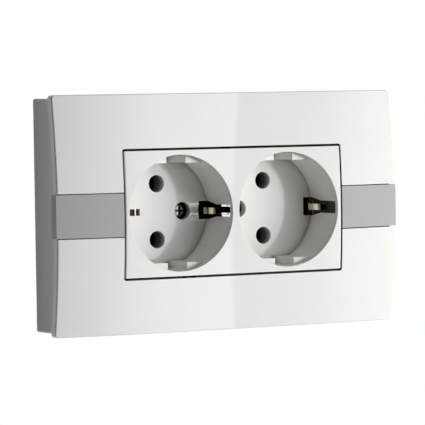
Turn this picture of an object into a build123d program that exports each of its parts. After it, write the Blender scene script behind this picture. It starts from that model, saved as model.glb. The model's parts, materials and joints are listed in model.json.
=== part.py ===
from build123d import *
from functools import cache
from math import asin, degrees, radians, sin, sqrt
import os

# Double earthed wall socket, in millimetres.
# X runs along the plate, Z is up, the front faces -Y and the wall's surface is the plane Y = 0.
# The contact block behind Y = 0 goes into a round wall box.

# Plug interface of each well
pin_spacing = 19.0
pin_hole_diameter = 5.9
pin_guide_wall = 1.2
pin_guide_length = 5.6
sleeve_bore = 5.0
well_diameter = 39.0
well_depth = 17.8
well_web = 2.6
rib_flat_spacing = 33.4
rib_groove_width = 7.4
rib_drop = 3.7

# Front plate
plate_width = 131.0
plate_height = 80.0
plate_corner = 1.2
plate_edge = 2.8
plate_skin = 2.2
plate_border = 4.5
edge_rounding = 0.5
crown_flat = 60.0
crown_radius_x = 190.0
crown_radius_z = 250.0
crown_margin = 6.0
rim_reach = 2.0

# Snap hooks behind the plate
hook_pitch = 100.0
hook_width = 8.0
hook_thickness = 1.4
hook_length = 9.0
hook_nose = 0.9
hook_nose_length = 2.0

# Trim bars
bar_height = 14.3
bar_gap = 0.35
bar_thickness = 1.8
bar_wrap = 3.4
bar_proud = 0.4
bar_peg_diameter = 2.6
bar_peg_pitch = 12.0
bar_peg_tail = 0.8

# Rear frame
frame_inset = 1.1
frame_wall = 1.8
frame_flange = 1.6
frame_corner = 0.8
gusset_thickness = 1.2
gusset_height = 9.0
gusset_pitch = 34.0

# Socket cover
floor_thickness = 1.6
land_above_well = 1.9
end_wall = 1.55
skirt_wall = 1.5
cup_wall = 1.4
face_skin = 2.0
cover_corner = 0.8
cover_rounding = 0.6
rim_rounding = 0.2
window_gap = 0.45

# Slots for the earth clips, and the inspection window in one floor
slot_reach = 3.3
slot_root_width = 6.25
slot_front_width = 4.2
slot_root_height = 1.3
slot_taper = 5.2
slot_face_bridge = 1.75
slot_bite = 0.9
sight_width = 3.9
sight_height = 2.25
sight_offset = 8.45
sight_strip_edge = 0.85
groove_width = 3.8
groove_depth = 0.35

# Earth strip and clips
strip_thickness = 0.8
strip_width = 6.0
strip_eye = 13.4
clip_root_inset = 1.2
clip_bulge = 2.9
clip_bulge_height = 6.8
clip_tip_inset = 0.9
clip_height = 11.2
clip_neck = 0.6
clip_root_width = 5.2
clip_width = 2.1
earth_leg_width = 5.0

# Socket base and support plate
flange_thickness = 1.8
drum_diameter = 56.0
drum_gap = 0.8
drum_depth = 18.0
support_thickness = 1.2
support_width = 100.0
support_rim = 2.0
support_corner = 5.0
box_screw_spacing = 60.0
box_slot_length = 8.0
box_slot_width = 4.2

# Contact strips and terminals
contact_stock = 0.8
sleeve_length = 11.0
sleeve_slit = 1.0
chamber_corner = 1.5
guide_chamber_corner = 4.0
band_set_back = 7.0
band_depth = 7.0
terminal_width = 7.0
terminal_height = 6.0
terminal_length = 8.0
wire_bore = 3.6
wire_entry = 4.4

# Screws and rivets
cover_screw_offset = 9.83
cover_screw_recess = 6.0
cover_screw_head = 5.4
cover_screw_head_height = 1.7
cover_screw_sink = 2.2
cover_screw_length = 12.0
cover_screw_cross = 3.2
screw_diameter = 2.9
boss_wall = 1.2
boss_length = 3.9
driver_slot_width = 0.8
driver_slot_depth = 0.8
terminal_screw_head = 5.0
terminal_screw_head_height = 1.8
terminal_screw_gap = 0.4
rivet_diameter = 3.0
rivet_head = 4.2
rivet_head_height = 0.9
rivet_edge = 2.8

# Spreading claws
claw_offset = 7.6
claw_width = 6.0
claw_stock = 1.2
claw_pivot_depth = 2.4
claw_pivot_radius = 0.9
claw_arm_length = 16.0
claw_swing = 12.0
claw_tooth = 1.2
claw_teeth = 3
claw_slot_width = 3.6
claw_screw_head = 5.6
claw_screw_head_height = 1.4
claw_screw_length = 21.0
claw_screw_gap = 0.18
lug_thickness = 1.2
lug_side_gap = 0.3
lug_margin = 0.9

# Clearances
seat_clearance = 0.05
fit_clearance = 0.2
loose_clearance = 0.4
thread_clearance = 0.05
pivot_clearance = 0.08

# How far cuts run past the part
cut_past = 10.0

# Levels along Y, counted from the wall
y_wall = 0.0
y_support = y_wall - support_thickness
y_flange = y_support - flange_thickness
y_floor = y_flange - floor_thickness
y_crest = y_floor - well_depth
y_frame_flange = y_support - frame_flange
y_rib_front = y_crest + rib_drop
y_drum_back = y_wall + drum_depth
y_guide = y_flange + pin_guide_length
y_sleeve = y_guide + loose_clearance
y_band = y_flange + band_set_back
y_terminal = y_band + (band_depth - terminal_length) / 2
y_far = y_crest - cut_past
y_behind = y_drum_back + cut_past

# Sizes that follow from others
pin_offset = pin_spacing / 2
pin_guide_diameter = pin_hole_diameter + 2 * pin_guide_wall
well_radius = well_diameter / 2
socket_pitch = well_diameter + well_web
well_centres = (-socket_pitch / 2, socket_pitch / 2)
cover_width = socket_pitch + well_diameter + 2 * end_wall
cover_height = well_diameter + 2 * land_above_well
seat_width = cover_width - 2 * skirt_wall
seat_height = cover_height - 2 * skirt_wall
flange_width = seat_width - 2 * loose_clearance
flange_height = seat_height - 2 * loose_clearance
window_width = cover_width + 2 * window_gap
window_height = cover_height + 2 * window_gap
frame_width = plate_width - 2 * frame_inset
frame_height = plate_height - 2 * frame_inset
frame_inner_width = frame_width - 2 * frame_wall
frame_inner_height = frame_height - 2 * frame_wall
channel_height = bar_height + 2 * bar_gap
screw_x = socket_pitch / 2 - cover_screw_offset
boss_diameter = cover_screw_recess + 2 * boss_wall
sleeve_radius = sleeve_bore / 2 + contact_stock
band_z = pin_offset - sleeve_radius
terminal_z = band_z + contact_stock
wire_z = terminal_z + terminal_height / 2
earth_leg_x = -(socket_pitch / 2 - contact_stock)
box_screw_z = box_screw_spacing / 2
support_height = box_screw_spacing + box_slot_length + 2 * support_rim
rivet_x = flange_width / 2 - rivet_edge
rivet_z = flange_height / 2 - rivet_edge
claw_travel = claw_arm_length * sin(radians(claw_swing)) + claw_stock / 2
claw_screw_z = cover_height / 2 + claw_screw_gap + claw_screw_head / 2
claw_screw_room = screw_diameter / 2 + loose_clearance
claw_pivot_height = claw_screw_z - claw_screw_room - claw_travel
claw_slot_end = claw_screw_z + claw_screw_room
claw_tip_z = claw_slot_end + claw_stock / 2 + claw_tooth
lug_radius = claw_pivot_radius + lug_margin
drum_height = 2 * (claw_pivot_height - lug_radius - drum_gap)


def prism(sketch, y_front, y_back):
    """A sketch drawn in X and Z, carried from y_front back to y_back."""
    return extrude(Plane.XZ.offset(-y_back) * sketch, y_back - y_front)


def rod(x, z, diameter, y_front, y_back):
    """A round bar along Y."""
    return prism(Pos(x, z) * Circle(diameter / 2), y_front, y_back)


def ring(x, diameter):
    """A circle about a socket's axis, drawn from its top, away from the clip slots."""
    return Pos(x, 0) * Rot(0, 0, 90) * Circle(diameter / 2)


def block(x_low, x_high, y_low, y_high, z_low, z_high):
    """A box between two corners."""
    size = (x_high - x_low, y_high - y_low, z_high - z_low)
    centre = ((x_low + x_high) / 2, (y_low + y_high) / 2, (z_low + z_high) / 2)
    return Pos(*centre) * Box(*size)


@cache
def crown(depth):
    """All that lies behind the pillow-shaped face, when that face is set back by depth."""
    half = plate_height / 2 + crown_margin
    radius = crown_radius_z - depth
    y_edge = y_crest + crown_radius_z - sqrt(radius**2 - half**2)
    arc = ThreePointArc((y_edge, -half), (y_crest + depth, 0), (y_edge, half))
    back = Polyline((y_edge, half), (y_behind, half), (y_behind, -half), (y_edge, -half))
    section = Plane.YZ * make_face(arc + back)
    middle = extrude(Pos(-crown_flat / 2, 0, 0) * section, crown_flat)
    y_centre = y_crest + crown_radius_x
    reach = plate_width / 2 + crown_margin - crown_flat / 2
    angle = degrees(asin(reach / (y_centre - y_behind)))
    axis = Axis((crown_flat / 2, y_centre, 0), (0, 0, 1))
    right = revolve(Pos(crown_flat / 2, 0, 0) * section, axis, angle)
    return middle + right + mirror(right, about=Plane.YZ)


def layer(sketch, top, bottom):
    """The stretch of a prism between two depths below the face."""
    return (prism(sketch, y_far, y_behind) & crown(top)) - crown(bottom)


def outline_edges(solid, width, height):
    """Edges round the front of a rectangular block that ends in the face."""
    x_rim = width / 2 - rim_reach
    z_rim = height / 2 - rim_reach

    def on_rim(edge):
        middle = edge.center()
        along_y = abs((edge @ 1 - edge @ 0).Y) > edge.length / 2
        outside = abs(middle.X) > x_rim or abs(middle.Z) > z_rim
        return outside and middle.Y < y_support - plate_edge and not along_y

    return solid.edges().filter_by(on_rim)


def bar_space(side, gap):
    """Outline of a trim bar's channel from the window to past the plate's end."""
    inner = window_width / 2
    outer = plate_width / 2 + bar_proud + gap
    return Pos(side * (inner + outer) / 2, 0) * Rectangle(outer - inner, bar_height + 2 * gap)


def bar_flange(side, gap):
    """Outline of the end of a trim bar that wraps onto the plate's side."""
    inner = frame_width / 2 + fit_clearance - gap
    outer = plate_width / 2 + bar_proud + gap
    return Pos(side * (inner + outer) / 2, 0) * Rectangle(outer - inner, bar_height + 2 * gap)


def bar_peg_places(side):
    """Centres of the two pegs behind a trim bar."""
    middle = side * (window_width / 2 + frame_inner_width / 2) / 2
    return [(middle - bar_peg_pitch / 2, 0), (middle + bar_peg_pitch / 2, 0)]


def hook_places():
    """Side and top or bottom of each snap hook."""
    return [(x * hook_pitch / 2, end) for x in (-1, 1) for end in (-1, 1)]


def hook_levels(x):
    """Where a hook starts and ends along Y, at the plate's underside over its foot."""
    z = frame_inner_height / 2
    drop_z = crown_radius_z - sqrt(crown_radius_z**2 - z**2)
    beyond = max(abs(x) - crown_flat / 2, 0)
    drop_x = crown_radius_x - sqrt(crown_radius_x**2 - beyond**2)
    root = y_crest + drop_z + drop_x + plate_skin
    return root, root + hook_length


def front_plate():
    outline = RectangleRounded(plate_width, plate_height, plate_corner)
    plate = prism(outline, y_far, y_wall) & crown(0)
    plate = fillet(outline_edges(plate, plate_width, plate_height), edge_rounding)
    plate -= crown(plate_edge)
    inside = Rectangle(plate_width - 2 * plate_border, plate_height - 2 * plate_border)
    pad = Rectangle(plate_width, channel_height + 2 * plate_edge)
    plate -= prism(inside - pad, y_far, y_behind) & crown(plate_skin)
    plate -= prism(RectangleRounded(window_width, window_height, cover_corner), y_far, y_behind)
    for side in (-1, 1):
        plate -= layer(bar_space(side, bar_gap), 0, bar_thickness + seat_clearance)
        plate -= prism(bar_flange(side, bar_gap), y_far, y_behind)
        for x, z in bar_peg_places(side):
            plate -= rod(x, z, bar_peg_diameter + 2 * pivot_clearance, y_far, y_wall)
    for x, end in hook_places():
        plate += snap_hook(x, end)
    return plate


def snap_hook(x, end):
    """A springy strip behind the plate whose nose catches in the rear frame's wall."""
    root, tip = hook_levels(x)
    z_out = frame_inner_height / 2 - fit_clearance
    z_in = z_out - hook_thickness
    z_nose = z_out + hook_nose
    profile = Polyline(
        (root - plate_skin / 2, z_in),
        (root - plate_skin / 2, z_out),
        (tip - hook_nose_length, z_out),
        (tip - hook_nose_length, z_nose),
        (tip - hook_nose_length / 2, z_nose),
        (tip, z_out),
        (tip, z_in),
        close=True,
    )
    strip = extrude(Plane.YZ * make_face(profile), hook_width / 2, both=True)
    hook = Pos(x, 0, 0) * strip
    return hook if end > 0 else mirror(hook, about=Plane.XY)


def accent_bar(side):
    bar = layer(bar_space(side, 0), 0, bar_thickness)
    bar += layer(bar_flange(side, 0), 0, bar_wrap)
    for x, z in bar_peg_places(side):
        peg = Pos(x, z) * Circle(bar_peg_diameter / 2)
        bar += layer(peg, bar_thickness / 2, plate_edge + bar_peg_tail)
    return bar


def rear_frame():
    outer = RectangleRounded(frame_width, frame_height, frame_corner)
    inner = Rectangle(frame_inner_width, frame_inner_height)
    frame = prism(outer, y_far, y_wall) & crown(plate_edge + seat_clearance)
    frame -= prism(inner, y_far, y_frame_flange)
    room = Rectangle(support_width + 2 * loose_clearance, support_height + 2 * loose_clearance)
    frame -= prism(inner + room, y_support, y_wall)
    for x in (-1, 0, 1):
        for end in (-1, 1):
            frame += gusset(x * gusset_pitch, end)
    frame -= prism(Rectangle(seat_width, seat_height), y_far, y_wall)
    for turn in (1, -1):
        hole = claw_screw_head + 2 * loose_clearance
        frame -= rod(turn * claw_offset, turn * claw_screw_z, hole, y_far, y_wall)
    for x, end in hook_places():
        tip = hook_levels(x)[1]
        low = frame_inner_height / 2 - frame_wall
        high = frame_inner_height / 2 + hook_nose
        slot = block(
            x - hook_width / 2 - loose_clearance,
            x + hook_width / 2 + loose_clearance,
            tip - hook_nose_length - fit_clearance,
            tip + fit_clearance,
            low,
            high,
        )
        frame -= slot if end > 0 else mirror(slot, about=Plane.XY)
    return frame


def gusset(x, end):
    """A triangular web between the frame's long wall and its flange."""
    z_wall = frame_inner_height / 2
    profile = Polyline(
        (y_frame_flange, z_wall),
        (y_frame_flange - gusset_height, z_wall),
        (y_frame_flange, z_wall - gusset_height),
        close=True,
    )
    web = Pos(x, 0, 0) * extrude(Plane.YZ * make_face(profile), gusset_thickness / 2, both=True)
    return web if end > 0 else mirror(web, about=Plane.XY)


def well(x):
    """The hollow of one well, with the guide ribs left standing."""
    flat = Rectangle(well_diameter, rib_flat_spacing) + Rectangle(rib_groove_width, well_diameter)
    hollow = ring(x, well_diameter) & Pos(x, 0) * flat
    mouth = prism(ring(x, well_diameter), y_far, y_rib_front)
    return mouth + prism(hollow, y_far, y_floor)


def clip_slot(x_low, x_high):
    """The stepped slot of an earth clip, from behind the floor to near the face."""
    root = slot_root_width / 2
    front = slot_front_width / 2
    y_taper = y_floor - slot_root_height
    y_front = y_crest + slot_face_bridge
    profile = Polyline(
        (y_flange, root),
        (y_taper, root),
        (y_taper - slot_taper, front),
        (y_front, front),
        (y_front, -front),
        (y_taper - slot_taper, -front),
        (y_taper, -root),
        (y_flange, -root),
        close=True,
    )
    return Pos(x_low, 0, 0) * extrude(Plane.YZ * make_face(profile), x_high - x_low)


def socket_cover():
    body = RectangleRounded(cover_width, cover_height, cover_corner)
    cover = prism(body, y_far, y_frame_flange) & crown(0)
    cover = fillet(outline_edges(cover, cover_width, cover_height), cover_rounding)
    hollow = prism(Rectangle(seat_width, seat_height), y_far, y_frame_flange) & crown(face_skin)
    web = Rectangle(socket_pitch - well_diameter + 2 * cup_wall, well_diameter / 2)
    cups = [ring(x, well_diameter + 2 * cup_wall) for x in well_centres]
    cover -= hollow - prism(cups[0] + cups[1] + web, y_far, y_flange)
    for x in well_centres:
        cover -= well(x)
    rim = [edge for edge in cover.edges() if on_well_rim(edge)]
    cover = fillet(rim, rim_rounding)
    inner_slot = socket_pitch / 2 - well_radius + slot_reach
    outer_slot = socket_pitch / 2 + well_radius
    cover -= clip_slot(-inner_slot, inner_slot)
    cover -= clip_slot(outer_slot - slot_reach, outer_slot + slot_bite)
    cover -= clip_slot(-outer_slot - slot_bite, -outer_slot + slot_reach)
    for x in well_centres:
        for z in (-pin_offset, pin_offset):
            cover += rod(x, z, pin_guide_diameter, y_floor, y_guide)
            cover -= rod(x, z, pin_hole_diameter, y_far, y_behind)
    for side in (-1, 1):
        cover -= floor_groove(side * inner_slot, side * screw_x)
    for x in (-screw_x, screw_x):
        head_seat = y_floor + cover_screw_sink + cover_screw_head_height
        cover += rod(x, 0, boss_diameter, y_floor, y_flange + boss_length)
        cover -= rod(x, 0, cover_screw_recess, y_far, head_seat)
        cover -= rod(x, 0, screw_diameter + 2 * fit_clearance, y_far, y_behind)
    sight = Pos(well_centres[0] - sight_offset, 0) * Rectangle(sight_width, sight_height)
    return cover - prism(sight, y_far, y_wall)


def floor_groove(x_slot, x_screw):
    """A shallow groove in the floor between a clip slot and a cover screw."""
    outline = Pos((x_slot + x_screw) / 2, 0) * Rectangle(abs(x_screw - x_slot), groove_width)
    return prism(outline, y_floor - groove_depth, y_floor + groove_depth)


def on_well_rim(edge):
    """True for the edges round the mouths of the wells."""
    middle = edge @ 0.5
    ends = [edge @ 0, middle, edge @ 1]
    if max(point.Y for point in ends) > y_rib_front - rim_rounding:
        return False
    return any(
        all(abs(sqrt((p.X - x) ** 2 + p.Z**2) - well_radius) < rim_rounding / 4 for p in ends)
        for x in well_centres
    )


def drum_outline(gap):
    """The contact block's round outline with its flat top and bottom."""
    return Circle(drum_diameter / 2 + gap) & Rectangle(drum_diameter + 4 * gap, drum_height + 2 * gap)


def strip_outline(gap):
    """The earth strip's flat outline, with an eye round each cover screw."""
    length = 2 * (socket_pitch / 2 + well_radius - clip_root_inset + strip_thickness / 2)
    outline = Rectangle(length + 2 * gap, strip_width + 2 * gap)
    for x in (-screw_x, screw_x):
        outline += Pos(x, 0) * Circle(strip_eye / 2 + gap)
    return outline


def socket_base():
    base = prism(Rectangle(flange_width, flange_height), y_flange, y_support)
    base += prism(drum_outline(0), y_support, y_drum_back)
    base -= prism(strip_outline(fit_clearance), y_flange, y_flange + strip_thickness)
    for x in (-screw_x, screw_x):
        boss = boss_diameter + 2 * fit_clearance
        base -= rod(x, 0, boss, y_flange, y_flange + boss_length + fit_clearance)
        pilot = screw_diameter + 2 * thread_clearance
        base -= rod(x, 0, pilot, y_flange, y_flange + cover_screw_length)
    for pole in (1, -1):
        base -= contact_room(pole)
        base -= rod(0, pole * wire_z, wire_entry, y_wall, y_behind)
    for x in (-rivet_x, rivet_x):
        for z in (-rivet_z, rivet_z):
            base -= rod(x, z, rivet_diameter + 2 * thread_clearance, y_flange, y_wall)
    return base - earth_room()


def contact_room(pole):
    """Space in the base for one contact strip and its terminal."""
    gap = fit_clearance
    end = y_sleeve + sleeve_length + loose_clearance
    room = block(
        well_centres[0],
        well_centres[1],
        y_flange,
        y_band + band_depth + gap,
        band_z - gap,
        terminal_z + gap,
    )
    sleeve_room = 2 * (sleeve_radius + gap)
    guide_room = pin_guide_diameter + 2 * gap
    for x in well_centres:
        chamber = RectangleRounded(sleeve_room, sleeve_room, chamber_corner)
        room += prism(Pos(x, pin_offset) * chamber, y_flange, end)
        mouth = RectangleRounded(guide_room, guide_room, guide_chamber_corner)
        room += prism(Pos(x, pin_offset) * mouth, y_flange, y_guide + gap)
    half = terminal_width / 2 + gap
    y_end = y_terminal + terminal_length + gap
    room += block(-half, half, y_flange, y_end, band_z - gap, drum_height)
    return room if pole > 0 else mirror(room, about=Plane.XY)


def earth_room():
    """Space in the base for the earth strip's leg and its terminal, open to the side."""
    gap = fit_clearance
    leg = earth_leg_width / 2 + gap
    y_end = y_terminal + terminal_length + gap
    room = block(earth_leg_x - gap, earth_leg_x + strip_thickness + gap, y_flange, y_end, -leg, leg)
    half = terminal_width / 2 + gap
    room += block(-drum_diameter, earth_leg_x + gap, y_terminal - gap, y_end, -half, half)
    wire_x = earth_leg_x - terminal_height / 2
    return room + rod(wire_x, 0, wire_entry, y_terminal, y_behind)


def support_plate():
    outline = RectangleRounded(support_width, support_height, support_corner)
    outline -= drum_outline(loose_clearance)
    for z in (-box_screw_z, box_screw_z):
        outline -= Pos(0, z) * SlotOverall(box_slot_length, box_slot_width, rotation=90)
    plate = prism(outline, y_support, y_wall)
    for x in (-rivet_x, rivet_x):
        for z in (-rivet_z, rivet_z):
            plate -= rivet_at(x, z, thread_clearance)
    for turn in (0, 180):
        hole = screw_diameter + 2 * loose_clearance
        plate -= Rot(0, turn, 0) * rod(claw_offset, claw_screw_z, hole, y_support, y_wall)
        for side in (-1, 1):
            plate += Rot(0, turn, 0) * claw_lug(side)
    return plate


def claw_lug(side):
    """An ear bent back from the support plate, with the hole that a claw turns in."""
    inner = claw_width / 2 + lug_side_gap
    x = claw_offset + side * (inner + lug_thickness / 2)
    end = Pos(claw_pivot_depth, claw_pivot_height) * Circle(lug_radius)
    stem = Pos(claw_pivot_depth / 2, claw_pivot_height) * Rectangle(claw_pivot_depth, 2 * lug_radius)
    eye = Pos(claw_pivot_depth, claw_pivot_height) * Circle(claw_pivot_radius + pivot_clearance)
    return Pos(x, 0, 0) * extrude(Plane.YZ * (end + stem - eye), lug_thickness / 2, both=True)


def claw():
    """A bent steel claw with side pins, a slotted foot and teeth at its tip."""
    half_width = claw_width / 2
    half_stock = claw_stock / 2
    y_foot = claw_pivot_depth + claw_arm_length
    z_arm = claw_pivot_height
    arm = block(-half_width, half_width, claw_pivot_depth, y_foot, z_arm - half_stock, z_arm + half_stock)
    foot = block(-half_width, half_width, y_foot - claw_stock, y_foot, z_arm, claw_tip_z)
    pin_length = claw_width + 2 * (lug_side_gap + lug_thickness)
    pin = Pos(0, claw_pivot_depth, z_arm) * Rot(0, 90, 0) * Cylinder(claw_pivot_radius, pin_length)
    body = arm + foot + pin
    slot_low = z_arm + half_stock
    slot_middle = (slot_low + claw_slot_end) / 2
    slot = Pos(0, slot_middle) * Rectangle(claw_slot_width, claw_slot_end - slot_low)
    body -= prism(slot, y_foot - 2 * claw_stock, y_foot + claw_stock)
    pitch = claw_width / claw_teeth
    for index in range(claw_teeth):
        x = index * pitch - half_width
        notch = Polyline(
            (x, claw_tip_z),
            (x + pitch / 2, claw_tip_z - claw_tooth),
            (x + pitch, claw_tip_z),
            close=True,
        )
        body -= prism(make_face(notch), y_foot - 2 * claw_stock, y_foot + claw_stock)
    return Pos(claw_offset, 0, 0) * body


def claw_screw():
    """A cheese-head screw from the front of the support plate to past the claw's foot."""
    y_head = y_support - claw_screw_head_height
    x, z = claw_offset, claw_screw_z
    screw = rod(x, z, claw_screw_head, y_head, y_support)
    screw += rod(x, z, screw_diameter, y_support, y_support + claw_screw_length)
    slot = Pos(x, z) * Rectangle(claw_screw_head, driver_slot_width)
    return screw - prism(slot, y_head, y_head + driver_slot_depth)


def contact_strip(pole):
    """A brass band with a split sleeve behind each of the two pin holes of its pole."""
    band = block(
        well_centres[0],
        well_centres[1],
        y_band,
        y_band + band_depth,
        band_z,
        terminal_z,
    )
    strip = band
    for x in well_centres:
        strip += rod(x, pin_offset, 2 * sleeve_radius, y_sleeve, y_sleeve + sleeve_length)
    for x in well_centres:
        strip -= rod(x, pin_offset, sleeve_bore, y_far, y_behind)
        slit = Pos(x, pin_offset + sleeve_radius) * Rectangle(sleeve_slit, 2 * sleeve_radius)
        strip -= prism(slit, y_far, y_behind)
    return strip if pole > 0 else mirror(strip, about=Plane.XY)


def terminal():
    """A brass terminal block standing on Z = 0, with its wire bore along Y."""
    half = terminal_width / 2
    body = block(-half, half, y_terminal, y_terminal + terminal_length, 0, terminal_height)
    body -= rod(0, terminal_height / 2, wire_bore, y_far, y_behind)
    y_screw = y_terminal + terminal_length / 2
    hole = screw_diameter / 2 + thread_clearance
    thread = Pos(0, y_screw, terminal_height) * Cylinder(hole, terminal_height)
    return body - thread


def terminal_screw():
    """The clamping screw of a terminal block that stands on Z = 0."""
    y_screw = y_terminal + terminal_length / 2
    z_low = terminal_height / 2 + wire_bore / 4
    z_head = terminal_height + terminal_screw_gap
    z_top = z_head + terminal_screw_head_height
    shank = Pos(0, y_screw, (z_low + z_head) / 2) * Cylinder(screw_diameter / 2, z_head - z_low)
    head = Pos(0, y_screw, (z_head + z_top) / 2) * Cylinder(terminal_screw_head / 2, z_top - z_head)
    half = terminal_screw_head / 2
    low = y_screw - driver_slot_width / 2
    slot = block(-half, half, low, low + driver_slot_width, z_top - driver_slot_depth, z_top)
    return shank + head - slot


def place_live(item):
    return Pos(0, 0, terminal_z) * item


def place_neutral(item):
    return mirror(place_live(item), about=Plane.XY)


def place_earth(item):
    return Pos(earth_leg_x, 0, 0) * Rot(0, -90, 0) * item


def clip(side):
    """One earth clip, bowed into the well, for the wall at X = 0 with the well on the other side."""
    root = -clip_root_inset
    foot = (root, y_flange + strip_thickness)
    bend = (root, y_floor)
    bulge = (-clip_bulge, y_floor - clip_bulge_height)
    tip = (-clip_tip_inset, y_floor - clip_height)
    spine = Line(foot, bend) + ThreePointArc(bend, bulge, tip)
    blade = extrude(trace(spine, strip_thickness), clip_root_width, both=True)
    half_root = clip_root_width / 2
    half_tip = clip_width / 2
    y_neck = y_floor - clip_neck
    y_round = y_floor - clip_height + half_tip
    outline = make_face(
        Polyline((y_round, half_tip), (y_neck, half_tip), (y_flange, half_root), (y_wall, half_root))
        + Line((y_wall, half_root), (y_wall, -half_root))
        + Polyline((y_wall, -half_root), (y_flange, -half_root), (y_neck, -half_tip), (y_round, -half_tip))
        + ThreePointArc((y_round, -half_tip), (y_round - half_tip, 0), (y_round, half_tip))
    )
    blade &= Pos(-well_radius, 0, 0) * extrude(Plane.YZ * outline, 2 * well_radius)
    return blade if side > 0 else mirror(blade, about=Plane.YZ)


def earth_strip():
    strip = prism(strip_outline(0), y_flange, y_flange + strip_thickness)
    for x in (-screw_x, screw_x):
        strip -= rod(x, 0, boss_diameter + 2 * fit_clearance, y_far, y_wall)
    sight_x = well_centres[0] - sight_offset + sight_strip_edge - sight_width / 2
    notch = Pos(sight_x, 0) * Rectangle(sight_width, 2 * sight_height)
    strip -= prism(notch, y_far, y_wall)
    for x in well_centres:
        for side in (-1, 1):
            strip += Pos(x + side * well_radius, 0, 0) * clip(side)
    half = earth_leg_width / 2
    y_end = y_terminal + terminal_length
    return strip + block(earth_leg_x, earth_leg_x + strip_thickness, y_flange, y_end, -half, half)


def cover_screw(x):
    """A cross-head screw whose head sits in the recess of a well's floor."""
    y_head = y_floor + cover_screw_sink
    y_seat = y_head + cover_screw_head_height
    screw = rod(x, 0, cover_screw_head, y_head, y_seat)
    screw += rod(x, 0, screw_diameter, y_seat, y_flange + cover_screw_length - fit_clearance)
    cross = Rectangle(cover_screw_cross, driver_slot_width)
    cross += Rectangle(driver_slot_width, cover_screw_cross)
    return screw - prism(Pos(x, 0) * cross, y_head, y_head + driver_slot_depth)


def rivet_at(x, z, gap):
    """A rivet with a round head in front and a tail set flush in the support plate."""
    shank = rod(x, z, rivet_diameter + 2 * gap, y_flange, y_wall)
    tail = Plane.XZ * Pos(x, z, -y_support) * Circle(rivet_diameter / 2 + gap)
    tail = loft([tail.face(), (Plane.XZ * Pos(x, z, -y_wall) * Circle(rivet_head / 2 + gap)).face()])
    head = rod(x, z, rivet_head, y_flange - rivet_head_height, y_flange)
    return shank + tail + head


def base_rivets():
    places = [(x, z) for x in (-rivet_x, rivet_x) for z in (-rivet_z, rivet_z)]
    return Compound(children=[rivet_at(x, z, 0).solid() for x, z in places])


def build():
    turn = Rot(0, 180, 0)
    return {
        "front_plate": front_plate(),
        "rear_frame": rear_frame(),
        "accent_bar_left": accent_bar(-1),
        "accent_bar_right": accent_bar(1),
        "socket_cover": socket_cover(),
        "cover_screw_left": cover_screw(-screw_x),
        "cover_screw_right": cover_screw(screw_x),
        "earth_strip": earth_strip(),
        "earth_terminal": place_earth(terminal()),
        "earth_terminal_screw": place_earth(terminal_screw()),
        "live_strip": contact_strip(1),
        "live_terminal": place_live(terminal()),
        "live_terminal_screw": place_live(terminal_screw()),
        "neutral_strip": contact_strip(-1),
        "neutral_terminal": place_neutral(terminal()),
        "neutral_terminal_screw": place_neutral(terminal_screw()),
        "socket_base": socket_base(),
        "support_plate": support_plate(),
        "base_rivets": base_rivets(),
        "claw_upper": claw(),
        "claw_screw_upper": claw_screw(),
        "claw_lower": turn * claw(),
        "claw_screw_lower": turn * claw_screw(),
    }


os.makedirs("parts", exist_ok=True)
for name, shape in build().items():
    export_step(shape, f"parts/{name}.step")
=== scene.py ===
import json
import math

import bmesh
import bpy
from mathutils import Matrix, Vector


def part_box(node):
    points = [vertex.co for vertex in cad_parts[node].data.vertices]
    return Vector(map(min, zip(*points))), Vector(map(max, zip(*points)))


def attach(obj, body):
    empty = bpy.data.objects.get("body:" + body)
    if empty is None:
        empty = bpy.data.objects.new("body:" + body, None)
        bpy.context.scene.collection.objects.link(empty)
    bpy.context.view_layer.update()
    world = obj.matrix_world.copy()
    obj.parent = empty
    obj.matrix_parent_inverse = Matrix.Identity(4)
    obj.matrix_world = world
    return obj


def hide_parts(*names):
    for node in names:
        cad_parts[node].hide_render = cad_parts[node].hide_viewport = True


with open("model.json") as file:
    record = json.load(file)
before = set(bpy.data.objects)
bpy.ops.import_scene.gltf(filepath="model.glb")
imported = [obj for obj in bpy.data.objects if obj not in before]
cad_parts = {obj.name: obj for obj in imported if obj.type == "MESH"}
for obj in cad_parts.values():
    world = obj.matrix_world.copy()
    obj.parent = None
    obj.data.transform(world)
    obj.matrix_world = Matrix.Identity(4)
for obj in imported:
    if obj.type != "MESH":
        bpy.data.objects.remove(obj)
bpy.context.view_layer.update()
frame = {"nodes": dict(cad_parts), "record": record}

# Lengths are in metres, angles in degrees, colours are linear.
MM = 0.001

# Camera, as the photograph was taken: from the left, a little above the middle of the plate
VIEW_AZIMUTH = 29.288
VIEW_ELEVATION = 2.261
VIEW_ROLL = -0.871
VIEW_DISTANCE = 1.04624
VIEW_TARGET = Vector((-9.18, -22.4, -0.166)) * MM
VIEW_LENS = 264.18
SENSOR = 36.0
NEAR_CLIP = 0.05

# Colours of the finishes
PLATE_WHITE = (0.80, 0.785, 0.765)
FRAME_WHITE = (0.78, 0.755, 0.73)
BAR_SILVER = (0.395, 0.39, 0.395)
BASE_DARK = (0.030, 0.030, 0.032)
PLATED_BRASS = (0.72, 0.65, 0.50)
BARE_BRASS = (0.70, 0.52, 0.22)
SCREW_ZINC = (0.30, 0.34, 0.40)
SHEET_ZINC = (0.62, 0.64, 0.66)

# Rolling marks of sheet metal: how much finer they are across than along
ROUND_MARKS = (1, 1, 1)
BRASS_MARKS = (1, 1, 12)
SHEET_MARKS = (1, 1, 14)

# The span that most of a noise texture's values fill
NOISE_LOW = 0.3
NOISE_HIGH = 0.7

# Shade: how far off walls still shade a spot, and the open shares that are dark and fully lit
HOLE_REACH = 6.5 * MM
HOLE_SHADE = (0.1, 0.6)
SEAM_REACH = 0.9 * MM
SEAM_SHADE = (0.34, 0.56)
METAL_REACH = 8 * MM
METAL_SHADE = (0.15, 0.95)

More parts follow.
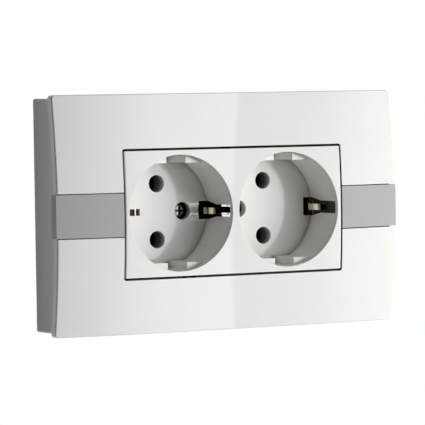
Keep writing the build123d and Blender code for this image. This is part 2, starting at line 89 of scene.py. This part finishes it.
# Skirt: depths between which it grows darker towards the wall, and the share left there
SKIRT_DEPTHS = (-14 * MM, -1 * MM)
SKIRT_REAR_SHARE = 0.6

# Cover: depths between which its gloss fades into the wells, and heights at which its lip meets the groove
COVER_GLOSS_DEPTHS = (-20.6 * MM, -19.6 * MM)
WELL_GLOSS_SHARE = 0.3
LIP_HEIGHTS = (21.0 * MM, 21.1 * MM)
LIP_SHARE = 0.03

# The screw recess that faces the light: its depth, its edge and how much light it gets
RECESS_DEPTH = -3.0 * MM
RECESS_EDGE = (3.6 * MM, 4.2 * MM)
RECESS_SHARE = 0.8

# Earth strip: spans over which its light starts or ends, across from the middle and in depth
MIDDLE_WALL_SPAN = (7.5 * MM, 8.5 * MM)
WINDOW_START_SPAN = (24 * MM, 25 * MM)
WINDOW_END_SPAN = (33 * MM, 34 * MM)
FLOOR_DEPTHS = (-4.2 * MM, -3.2 * MM)
TIP_DEPTHS = (-14.6 * MM, -13.4 * MM)
OUTWARD_SPAN = (0.0, 0.5 * MM)

# Screws
SHANK_RADIUS = 1.45 * MM
THREAD_PITCH = 0.6 * MM
THREAD_DEPTH = 0.55
COVER_HEAD = 1.7 * MM
CLAW_HEAD = 1.4 * MM
TERMINAL_HEAD = 1.8 * MM
CROSS_LENGTH = 3.1 * MM
CROSS_WIDTH = 0.78 * MM
CROSS_DEPTH = 1.3 * MM
CROSS_TAPER = 0.55
SLIT_LENGTH = 8 * MM
SLIT_WIDTH = 0.8 * MM
SLIT_DEPTH = 0.8 * MM
DRIVE_RISE = 0.1 * MM
SHARP_ANGLE = 32

# A screw head's half section from its crown: shares of its radius and of its height
HEAD_SECTION = (
    (0, 0), (0.5, 0.01), (0.75, 0.06), (0.9, 0.18), (0.98, 0.36), (1, 0.5), (1, 0.95), (0.97, 1), (0, 1),
)

# Painted shade of the outer clip slots, a thin dark plate on each slot's back: its place, its thickness,
# and depth with half width from floor to rim
SLOT_SHADOW_PLACE = 41.12 * MM
SLOT_SKIN = 0.05 * MM
SLOT_PROFILE = (
    (-4.7 * MM, 3.1 * MM), (-5.9 * MM, 3.1 * MM), (-11.1 * MM, 2.08 * MM), (-20.6 * MM, 2.08 * MM),
)

# Stage
FLOOR_LEVEL = -0.5
FLOOR_RADIUS = 1.5
FLOOR_TONE = 0.85
FLOOR_WHITENESS = 0.8
FLOOR_ROUGHNESS = 0.8

# Light
LIGHT_TARGET = Vector((-1.0, -22.4, 0.0)) * MM
AMBIENT_COLOUR = (1.0, 0.985, 0.965)
AMBIENT_FRONT = 0.015
AMBIENT_BACK = 0.21

# Softboxes by name: spans of azimuth and elevation seen from the part, distance and radiance
SOFTBOXES = {
    "wide_softbox": ((33.0, 67.0), (-22.0, 18.0), 0.53, 4.9),
    "far_lamp": ((31.5, 34.5), (-4.0, -1.0), 2.0, 304.0),
    "front_fill": ((9.0, 31.0), (-5.0, 31.0), 0.8, 3.0),
    "back_softbox": ((165.0, 195.0), (-20.0, 40.0), 0.9, 4.0),
}

# Card in front: its span, the bow and lean of its right edge, and its radiance
CARD_LEFT = -12.0
CARD_EDGE = 29.6
CARD_BOW = 0.913
CARD_LEAN = -0.0079
CARD_DISTANCE = 0.6
CARD_ELEVATIONS = range(-52, 45, 4)
CARD_COLUMNS = 8
CARD_RADIANCE_LEFT = 0.5
CARD_RADIANCE_RIGHT = 3.3

# Black card at the left
FLAG_NEAR = -60
FLAG_FAR = -128
FLAG_HEIGHT = 40
FLAG_DISTANCE = 0.7
FLAG_TONE = 0.01
FLAG_ROUGHNESS = 0.9


def link(obj):
    bpy.context.scene.collection.objects.link(obj)
    return obj


def new_mesh(name, build):
    """An object whose mesh is drawn by build, which gets an empty bmesh."""
    bm = bmesh.new()
    build(bm)
    bmesh.ops.recalc_face_normals(bm, faces=bm.faces)
    mesh = bpy.data.meshes.new(name)
    bm.to_mesh(mesh)
    bm.free()
    return link(bpy.data.objects.new(name, mesh))


# Shader nodes


def new_material(name):
    """A node material with its shader and a way to add nodes."""
    material = bpy.data.materials.new(name)
    material.use_nodes = True
    nodes = material.node_tree.nodes
    return material, nodes, material.node_tree.links, nodes["Principled BSDF"]


def noise(nodes, links, scale, detail, stretch=ROUND_MARKS):
    """Noise in the part's own coordinates, with features of about 1 / scale metres."""
    place = nodes.new("ShaderNodeTexCoord")
    mapping = nodes.new("ShaderNodeMapping")
    mapping.inputs["Scale"].default_value = stretch
    texture = nodes.new("ShaderNodeTexNoise")
    texture.inputs["Scale"].default_value = scale
    texture.inputs["Detail"].default_value = detail
    links.new(place.outputs["Object"], mapping.inputs["Vector"])
    links.new(mapping.outputs["Vector"], texture.inputs["Vector"])
    return texture.outputs["Fac"]


def ranged(nodes, links, source, low, high, start=NOISE_LOW, end=NOISE_HIGH):
    """A value carried from the span start to end, which noise fills, to the span low to high."""
    node = nodes.new("ShaderNodeMapRange")
    node.inputs["From Min"].default_value = start
    node.inputs["From Max"].default_value = end
    node.inputs["To Min"].default_value = low
    node.inputs["To Max"].default_value = high
    links.new(source, node.inputs["Value"])
    return node.outputs["Result"]


def toned(nodes, links, source, colour, spread):
    """A colour that drifts by a small share between lighter and darker."""
    ramp = nodes.new("ShaderNodeValToRGB")
    darker, lighter = ramp.color_ramp.elements
    darker.position = NOISE_LOW
    lighter.position = NOISE_HIGH
    darker.color = [c * (1 - spread) for c in colour] + [1]
    lighter.color = [c * (1 + spread) for c in colour] + [1]
    links.new(source, ramp.inputs["Fac"])
    return ramp.outputs["Color"]


def along(nodes, links, space, axis):
    """One coordinate of the shaded spot."""
    place = nodes.new("ShaderNodeTexCoord")
    split = nodes.new("ShaderNodeSeparateXYZ")
    links.new(place.outputs[space], split.inputs[0])
    return split.outputs[axis]


def open_share(nodes, links, reach, dark, full):
    """How free a spot is of walls within reach, from 0 in a hole to 1 in the open."""
    shade = nodes.new("ShaderNodeAmbientOcclusion")
    shade.samples = 8
    shade.inputs["Distance"].default_value = reach
    return ranged(nodes, links, shade.outputs["AO"], 0.0, 1.0, dark, full)


def combined(nodes, links, operation, *sources):
    """One math node on one or two varying values."""
    result = nodes.new("ShaderNodeMath")
    result.operation = operation
    for socket, source in zip(result.inputs, sources):
        links.new(source, socket)
    return result.outputs[0]


def coloured(nodes, links, shader, colour, source, light):
    """Sets the base colour, which is black where no light gets to."""
    mix = nodes.new("ShaderNodeMix")
    mix.data_type = "RGBA"
    ends = {socket.identifier: socket for socket in (*mix.inputs, *mix.outputs)}
    ends["A_Color"].default_value = (0, 0, 0, 1)
    links.new(light, ends["Factor_Float"])
    links.new(source, ends["B_Color"])
    links.new(ends["Result_Color"], shader.inputs["Base Color"])
    shader.inputs["Base Color"].default_value = (*colour, 1)


def bumped(nodes, links, source, shader, strength, distance):
    """A relief that follows the source."""
    bump = nodes.new("ShaderNodeBump")
    bump.inputs["Strength"].default_value = strength
    bump.inputs["Distance"].default_value = distance
    links.new(source, bump.inputs["Height"])
    links.new(bump.outputs["Normal"], shader.inputs["Normal"])


# Where light gets to


def earth_light(nodes, links):
    """Where light gets to the earth strip: on the clips but not their tips, and in the sight
    window; between the wells only on the faces that look away from the other well."""
    depth = along(nodes, links, "Object", "Y")
    across = along(nodes, links, "Object", "X")
    middle = combined(nodes, links, "ABSOLUTE", across)
    outward = combined(nodes, links, "MULTIPLY", along(nodes, links, "Normal", "X"), across)
    away = ranged(nodes, links, outward, 0.0, 1.0, *OUTWARD_SPAN)
    beside = ranged(nodes, links, middle, 0.0, 1.0, *MIDDLE_WALL_SPAN)
    front = ranged(nodes, links, depth, 1.0, 0.0, *FLOOR_DEPTHS)
    facing = combined(nodes, links, "MAXIMUM", away, beside)
    clips = combined(nodes, links, "MULTIPLY", front, facing)
    past_hole = ranged(nodes, links, middle, 0.0, 1.0, *WINDOW_START_SPAN)
    before_slot = ranged(nodes, links, middle, 1.0, 0.0, *WINDOW_END_SPAN)
    window = combined(nodes, links, "MULTIPLY", past_hole, before_slot)
    tips = ranged(nodes, links, depth, 0.0, 1.0, *TIP_DEPTHS)
    return combined(nodes, links, "MULTIPLY", tips, combined(nodes, links, "MAXIMUM", clips, window))


def skirt_shade(nodes, links, light):
    """The skirt grows darker towards the wall."""
    depth = along(nodes, links, "Object", "Y")
    share = ranged(nodes, links, depth, 1.0, SKIRT_REAR_SHARE, *SKIRT_DEPTHS)
    return combined(nodes, links, "MULTIPLY", light, share)


def recess_light(nodes, links, light):
    """The right screw's recess faces the light, so its walls are not dark."""
    low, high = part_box("cover_screw_right")
    middle = (low + high) / 2
    place = nodes.new("ShaderNodeTexCoord")
    gap = nodes.new("ShaderNodeVectorMath")
    gap.operation = "DISTANCE"
    gap.inputs[1].default_value = (middle.x, RECESS_DEPTH, middle.z)
    links.new(place.outputs["Object"], gap.inputs[0])
    share = ranged(nodes, links, gap.outputs["Value"], RECESS_SHARE, 0.0, *RECESS_EDGE)
    return combined(nodes, links, "MAXIMUM", light, share)


def lip_shade(nodes, links, light):
    """The cover's upper and lower lips lie in the dark of the groove round it."""
    height = combined(nodes, links, "ABSOLUTE", along(nodes, links, "Object", "Z"))
    share = ranged(nodes, links, height, 1.0, LIP_SHARE, *LIP_HEIGHTS)
    return combined(nodes, links, "MULTIPLY", light, share)


# Materials


def plastic(name, colour, roughness, grain, relief, spread=0.012, gloss=0.0, gloss_depths=None, shades=()):
    """Moulded plastic: slow drift of tone, and a fine grain from the mould."""
    material, nodes, links, shader = new_material(name)
    drift = noise(nodes, links, 60.0, 3.0)
    fine = noise(nodes, links, grain, 4.0)
    tone = toned(nodes, links, drift, colour, spread)
    # Painted shade: the base colour is darkened in holes and narrow seams by how closed in a spot is, and
    # by the given shades
    holes = open_share(nodes, links, HOLE_REACH, *HOLE_SHADE)
    seams = open_share(nodes, links, SEAM_REACH, *SEAM_SHADE)
    light = combined(nodes, links, "MULTIPLY", holes, seams)
    for shade in shades:
        light = shade(nodes, links, light)
    coloured(nodes, links, shader, colour, tone, light)
    rough = ranged(nodes, links, fine, roughness - 0.04, roughness + 0.04)
    links.new(rough, shader.inputs["Roughness"])
    bumped(nodes, links, fine, shader, relief, 0.05 * MM)
    shader.inputs["Coat Weight"].default_value = gloss
    if gloss_depths:
        depth = along(nodes, links, "Object", "Y")
        weight = ranged(nodes, links, depth, gloss, WELL_GLOSS_SHARE * gloss, *gloss_depths)
        links.new(weight, shader.inputs["Coat Weight"])
    shader.inputs["Coat Roughness"].default_value = 0.03
    shader.inputs["Specular IOR Level"].default_value = 0.5 * (1 - gloss)
    return material


def metal(name, colour, roughness, grain, stretch, relief, light=None):
    """Plated or bare metal with rolling marks along one direction."""
    material, nodes, links, shader = new_material(name)
    shader.inputs["Metallic"].default_value = 1.0
    drift = noise(nodes, links, 350.0, 3.0)
    marks = noise(nodes, links, grain, 5.0, stretch)
    tone = toned(nodes, links, drift, colour, 0.08)
    # Painted shade: the base colour is darkened where walls close in, or follows the given painted light
    # and shade
    reached = light(nodes, links) if light else open_share(nodes, links, METAL_REACH, *METAL_SHADE)
    coloured(nodes, links, shader, colour, tone, reached)
    rough = ranged(nodes, links, marks, roughness - 0.06, roughness + 0.08)
    links.new(rough, shader.inputs["Roughness"])
    bumped(nodes, links, marks, shader, relief, 0.02 * MM)
    return material


def lacquer(name, colour):
    """Silver-grey lacquer with fine metal flakes in it."""
    material, nodes, links, shader = new_material(name)
    shader.inputs["Specular IOR Level"].default_value = 0.3
    flake = noise(nodes, links, 9000.0, 2.0)
    drift = noise(nodes, links, 80.0, 3.0)
    tone = toned(nodes, links, flake, colour, 0.05)
    # Painted shade: the base colour is darkened in narrow seams
    coloured(nodes, links, shader, colour, tone, open_share(nodes, links, SEAM_REACH, *SEAM_SHADE))
    links.new(ranged(nodes, links, drift, 0.36, 0.42), shader.inputs["Roughness"])
    bumped(nodes, links, flake, shader, 0.06, 0.02 * MM)
    return material


def make_materials():
    """The finishes by the names of their slots."""
    return {
        "plate_white": plastic("plate_white", PLATE_WHITE, 0.5, 2500.0, 0.04, gloss=1.0),
        "frame_white": plastic("frame_white", FRAME_WHITE, 0.45, 1800.0, 0.12, shades=(skirt_shade,)),
        "cover_white": plastic("cover_white", PLATE_WHITE, 0.5, 2500.0, 0.04, gloss=1.0,
                               gloss_depths=COVER_GLOSS_DEPTHS, shades=(recess_light, lip_shade)),
        "bar_silver": lacquer("bar_silver", BAR_SILVER),
        "base_dark": plastic("base_dark", BASE_DARK, 0.5, 1500.0, 0.2, 0.15),
        "plated_brass": metal("plated_brass", PLATED_BRASS, 0.16, 900.0, BRASS_MARKS, 0.1, earth_light),
        "bare_brass": metal("bare_brass", BARE_BRASS, 0.34, 900.0, BRASS_MARKS, 0.12),
        "zinc_screw": metal("zinc_screw", SCREW_ZINC, 0.12, 1600.0, ROUND_MARKS, 0.1),
        "zinc_sheet": metal("zinc_sheet", SHEET_ZINC, 0.38, 500.0, SHEET_MARKS, 0.15),
    }


def dress_nodes(materials):
    """Gives every node of the frame the finish that its record names."""
    for row in frame["record"]["subparts"]:
        obj = frame["nodes"][row["node"]]
        for slot in obj.material_slots:
            slot.material = materials[row["material_slot"]]


# Screws: a rounded head with its drive and a rolled thread, in place of the plain ones


def join_rings(bm, rings):
    """The faces between closed rings of as many points each."""
    for low_ring, high_ring in zip(rings, rings[1:]):
        for i in range(len(low_ring)):
            j = (i + 1) % len(low_ring)
            bm.faces.new((low_ring[i], low_ring[j], high_ring[j], high_ring[i]))


def lathe(bm, profile, around=48):
    """A turned solid about Z; the profile runs from a point on the axis to another one."""
    rings = []
    for radius, z in profile[1:-1]:
        angles = [2 * math.pi * i / around for i in range(around)]
        rings.append([bm.verts.new((radius * math.cos(a), radius * math.sin(a), z)) for a in angles])
    join_rings(bm, rings)
    for ring, (_, z) in ((rings[0], profile[0]), (rings[-1], profile[-1])):
        pole = bm.verts.new((0, 0, z))
        for i in range(around):
            bm.faces.new((ring[i], ring[(i + 1) % around], pole))


def threaded(bm, top, length, radius, pitch, around=24, per_turn=10):
    """A rod down from z = top with a thread on it and a blunt point."""
    rings = []
    for k in range(int(length / pitch * per_turn) + 1):
        z = top - k * pitch / per_turn
        point = min(1.0, 0.6 + (length - (top - z)) / (3 * pitch))
        ring = []
        for i in range(around):
            wave = 1 - abs(2 * ((k / per_turn + i / around) % 1) - 1)
            r = point * (radius - THREAD_DEPTH * pitch * (1 - min(1, 1.2 * wave)))
            a = 2 * math.pi * i / around
            ring.append(bm.verts.new((r * math.cos(a), r * math.sin(a), z)))
        rings.append(ring)
    join_rings(bm, rings)
    bm.faces.new(rings[0])
    bm.faces.new(rings[-1])


def tapered(bm, outline, z_top, z_low, shrink):
    """A prism whose lower end is shrunk."""
    top = [bm.verts.new((x, y, z_top)) for x, y in outline]
    low = [bm.verts.new((x * shrink, y * shrink, z_low)) for x, y in outline]
    join_rings(bm, (top, low))
    bm.faces.new(top)
    bm.faces.new(low)


def cross_outline(length, width):
    a, b = length / 2, width / 2
    arm = [(a, -b), (a, b), (b, b)]
    outline = []
    for _ in range(4):
        outline += arm
        arm = [(-y, x) for x, y in arm]
    return outline


def slit_outline(length, width):
    a, b = length / 2, width / 2
    return [(-a, -b), (a, -b), (a, b), (-a, b)]


def carve(obj, cutter):
    """Cuts one mesh out of another for good."""
    cut = obj.modifiers.new("cut", "BOOLEAN")
    cut.object = cutter
    cut.operation = "DIFFERENCE"
    cut.solver = "EXACT"
    graph = bpy.context.evaluated_depsgraph_get()
    mesh = bpy.data.meshes.new_from_object(obj.evaluated_get(graph))
    obj.modifiers.clear()
    obj.data = mesh
    bpy.data.objects.remove(cutter)


def screw(node, out, head_height, outline, drive_depth, shrink, material):
    """A screw with thread and drive on the place of a plain one; out points from its tip to its head."""
    low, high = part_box(node)
    length = abs(out.dot(high - low))
    top = (low + high) / 2 + out * length / 2
    radius = min(high[i] - low[i] for i in range(3) if abs(out[i]) < 0.5) / 2
    profile = [(share * radius, -drop * head_height) for share, drop in HEAD_SECTION]
    head = new_mesh(node + "_detail", lambda bm: lathe(bm, profile))
    carve(head, new_mesh("drive", lambda bm: tapered(bm, outline, DRIVE_RISE, -drive_depth, shrink)))
    bm = bmesh.new()
    bm.from_mesh(head.data)
    threaded(bm, -0.9 * head_height, length - 0.95 * head_height, SHANK_RADIUS, THREAD_PITCH)
    bmesh.ops.recalc_face_normals(bm, faces=bm.faces)
    bm.to_mesh(head.data)
    bm.free()
    for face in head.data.polygons:
        face.use_smooth = True
    head.data.set_sharp_from_angle(angle=math.radians(SHARP_ANGLE))
    head.data.materials.clear()
    head.data.materials.append(material)
    turn = Vector((0, 0, 1)).rotation_difference(out).to_matrix().to_4x4()
    head.matrix_world = Matrix.Translation(top) @ turn
    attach(head, "socket")
    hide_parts(node)


def make_screws(material):
    """The cover's cross-head screws, and the slotted ones of the claws and terminals."""
    front, up, left = Vector((0, -1, 0)), Vector((0, 0, 1)), Vector((-1, 0, 0))
    cross = cross_outline(CROSS_LENGTH, CROSS_WIDTH)
    slit = slit_outline(SLIT_LENGTH, SLIT_WIDTH)
    for side in ("left", "right"):
        screw("cover_screw_" + side, front, COVER_HEAD, cross, CROSS_DEPTH, CROSS_TAPER, material)
    for side in ("upper", "lower"):
        screw("claw_screw_" + side, front, CLAW_HEAD, slit, SLIT_DEPTH, 1.0, material)
    for name, out in (("live", up), ("neutral", -up), ("earth", left)):
        screw(name + "_terminal_screw", out, TERMINAL_HEAD, slit, SLIT_DEPTH, 1.0, material)


# Clip slots: painted shade


def slot_shadow_plate(bm, side):
    """A thin plate with a slot's outline, on the outer side of the given side's well; it paints the shade
    of a deep slot.
    """
    outline = [(y, z) for y, z in SLOT_PROFILE] + [(y, -z) for y, z in reversed(SLOT_PROFILE)]
    face = bm.faces.new([bm.verts.new((side * SLOT_SHADOW_PLACE, y, z)) for y, z in outline])
    grown = bmesh.ops.extrude_face_region(bm, geom=[face])
    moved = [item for item in grown["geom"] if isinstance(item, bmesh.types.BMVert)]
    bmesh.ops.translate(bm, verts=moved, vec=(side * SLOT_SKIN, 0, 0))


def make_painted_slot_shadows(material):
    """Painted shade of the two outer clip slots: a thin plate in the dark base colour on the back of each,
    where a deep slot would lie in shade.
    """
    for name, side in (("painted_slot_shadow_left", -1), ("painted_slot_shadow_right", 1)):
        back = new_mesh(name, lambda bm: slot_shadow_plate(bm, side))
        back.data.materials.append(material)
        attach(back, "socket")


# Stage


def seen_rays(nodes, links):
    """1 for the rays that show the background: to the camera, in gloss and through glass."""
    path = nodes.new("ShaderNodeLightPath")
    direct = combined(nodes, links, "MAXIMUM", path.outputs["Is Camera Ray"], path.outputs["Is Glossy Ray"])
    return combined(nodes, links, "MAXIMUM", direct, path.outputs["Is Transmission Ray"])


def blended(nodes, links, share, plain, white, surface):
    """Leads two shaders to the surface, with the given share of the white one."""
    mix = nodes.new("ShaderNodeMixShader")
    links.new(share, mix.inputs["Fac"])
    links.new(plain.outputs[0], mix.inputs[1])
    links.new(white.outputs[0], mix.inputs[2])
    links.new(mix.outputs[0], surface)


def make_world():
    """A white background, and a dim light that is stronger behind the part than in front."""
    world = bpy.data.worlds.new("studio")
    bpy.context.scene.world = world
    world.use_nodes = True
    nodes, links = world.node_tree.nodes, world.node_tree.links
    ambient = nodes["Background"]
    ambient.inputs["Color"].default_value = (*AMBIENT_COLOUR, 1)
    depth = along(nodes, links, "Generated", "Y")
    strength = ranged(nodes, links, depth, AMBIENT_FRONT, AMBIENT_BACK, -1, 1)
    links.new(strength, ambient.inputs["Strength"])
    white = nodes.new("ShaderNodeBackground")
    white.inputs["Color"].default_value = (1, 1, 1, 1)
    white.inputs["Strength"].default_value = 1.0
    blended(nodes, links, seen_rays(nodes, links), ambient, white, nodes["World Output"].inputs["Surface"])


def make_floor():
    """A pale round floor well below the part."""
    def disc(bm):
        bmesh.ops.create_circle(bm, cap_ends=True, radius=FLOOR_RADIUS, segments=96)

    floor = new_mesh("floor", disc)
    floor.location.z = FLOOR_LEVEL
    material, nodes, links, shader = new_material("floor_white")
    shader.inputs["Base Color"].default_value = (FLOOR_TONE, FLOOR_TONE, FLOOR_TONE, 1)
    shader.inputs["Roughness"].default_value = FLOOR_ROUGHNESS
    white = nodes.new("ShaderNodeEmission")
    white.inputs["Strength"].default_value = 1.0
    share = ranged(nodes, links, seen_rays(nodes, links), 0.0, FLOOR_WHITENESS, 0, 1)
    blended(nodes, links, share, shader, white, nodes["Material Output"].inputs["Surface"])
    floor.data.materials.append(material)


# Light


def direction(azimuth, elevation):
    """From the part outwards: azimuth 0 is in front of the plate, and 90 on its right."""
    a, e = math.radians(azimuth), math.radians(elevation)
    return Vector((math.sin(a) * math.cos(e), -math.cos(a) * math.cos(e), math.sin(e)))


def softbox(name, azimuths, elevations, distance, radiance):
    """A soft light that fills the given spans of azimuth and elevation; gloss doesn't show it."""
    light = bpy.data.lights.new(name, "AREA")
    light.shape = "RECTANGLE"
    light.size = 2 * distance * math.tan(math.radians(azimuths[1] - azimuths[0]) / 2)
    light.size_y = 2 * distance * math.tan(math.radians(elevations[1] - elevations[0]) / 2)
    light.energy = radiance * math.pi * light.size * light.size_y
    lamp = link(bpy.data.objects.new(name, light))
    out = direction(sum(azimuths) / 2, sum(elevations) / 2)
    lamp.location = LIGHT_TARGET + distance * out
    lamp.rotation_mode = "QUATERNION"
    lamp.rotation_quaternion = (-out).to_track_quat("-Z", "Y")
    lamp.visible_camera = False
    lamp.visible_glossy = False


def show_in_gloss_only(obj):
    obj.visible_camera = False
    obj.visible_diffuse = False
    obj.visible_shadow = False


def card_edge(elevation):
    """The azimuth of the card's right edge, bowed so that the plate shows it as a straight line."""
    height = elevation + VIEW_ELEVATION
    tilt = math.sin(math.radians(height)) / math.cos(math.radians(VIEW_AZIMUTH))
    edge = math.tan(math.radians(CARD_EDGE)) / math.sqrt(1 - CARD_BOW * tilt**2)
    return math.degrees(math.atan(edge)) + CARD_LEAN * height


def make_card():
    """A bright card in front that only gloss shows; its right edge ends in the middle of the plate."""
    def patch(bm):
        grid = []
        for elevation in CARD_ELEVATIONS:
            step = (card_edge(elevation) - CARD_LEFT) / CARD_COLUMNS
            spots = [direction(CARD_LEFT + step * i, elevation) for i in range(CARD_COLUMNS + 1)]
            grid.append([bm.verts.new(LIGHT_TARGET + CARD_DISTANCE * spot) for spot in spots])
        for low_row, high_row in zip(grid, grid[1:]):
            for i in range(CARD_COLUMNS):
                bm.faces.new((low_row[i], low_row[i + 1], high_row[i + 1], high_row[i]))

    card = new_mesh("front_card", patch)
    material, nodes, links, _ = new_material("card_white")
    glow = nodes.new("ShaderNodeEmission")
    across = along(nodes, links, "Generated", "X")
    radiance = ranged(nodes, links, across, CARD_RADIANCE_LEFT, CARD_RADIANCE_RIGHT, 0, 1)
    links.new(radiance, glow.inputs["Strength"])
    links.new(glow.outputs[0], nodes["Material Output"].inputs["Surface"])
    card.data.materials.append(material)
    show_in_gloss_only(card)


def make_flag():
    """A black card at the left, which gloss shows as a dark side of the studio."""
    def patch(bm):
        near = [direction(FLAG_NEAR, elevation) for elevation in (-FLAG_HEIGHT, FLAG_HEIGHT)]
        far = [direction(FLAG_FAR, elevation) for elevation in (FLAG_HEIGHT, -FLAG_HEIGHT)]
        bm.faces.new([bm.verts.new(LIGHT_TARGET + FLAG_DISTANCE * corner) for corner in near + far])

    flag = new_mesh("left_flag", patch)
    material, _, _, shader = new_material("flag_black")
    shader.inputs["Base Color"].default_value = (FLAG_TONE, FLAG_TONE, FLAG_TONE, 1)
    shader.inputs["Roughness"].default_value = FLAG_ROUGHNESS
    flag.data.materials.append(material)
    show_in_gloss_only(flag)


def make_lights():
    """Light from the right: a wide near softbox, a small far lamp and a fill in front. A softbox
    straight behind lights what the wall would hide."""
    for name, (azimuths, elevations, distance, radiance) in SOFTBOXES.items():
        softbox(name, azimuths, elevations, distance, radiance)
    make_card()
    make_flag()


# Camera


def make_camera():
    """The photograph's camera, with its roll."""
    back = direction(-VIEW_AZIMUTH, VIEW_ELEVATION)
    right = Vector((0, 0, 1)).cross(back).normalized()
    up = back.cross(right)
    roll = math.radians(VIEW_ROLL)
    side = math.cos(roll) * right + math.sin(roll) * up
    top = math.cos(roll) * up - math.sin(roll) * right
    camera = link(bpy.data.objects.new("camera", bpy.data.cameras.new("camera")))
    camera.data.lens = VIEW_LENS
    camera.data.sensor_width = SENSOR
    camera.data.clip_start = NEAR_CLIP
    turn = Matrix((side, top, back)).transposed().to_4x4()
    camera.matrix_world = Matrix.Translation(VIEW_TARGET + VIEW_DISTANCE * back) @ turn
    bpy.context.scene.camera = camera


bpy.context.scene.view_settings.view_transform = "Standard"
make_world()
make_floor()
make_lights()
make_camera()
materials = make_materials()
dress_nodes(materials)
make_screws(materials["zinc_screw"])
# Painted shade: dark plates on the backs of the outer clip slots
make_painted_slot_shadows(materials["base_dark"])
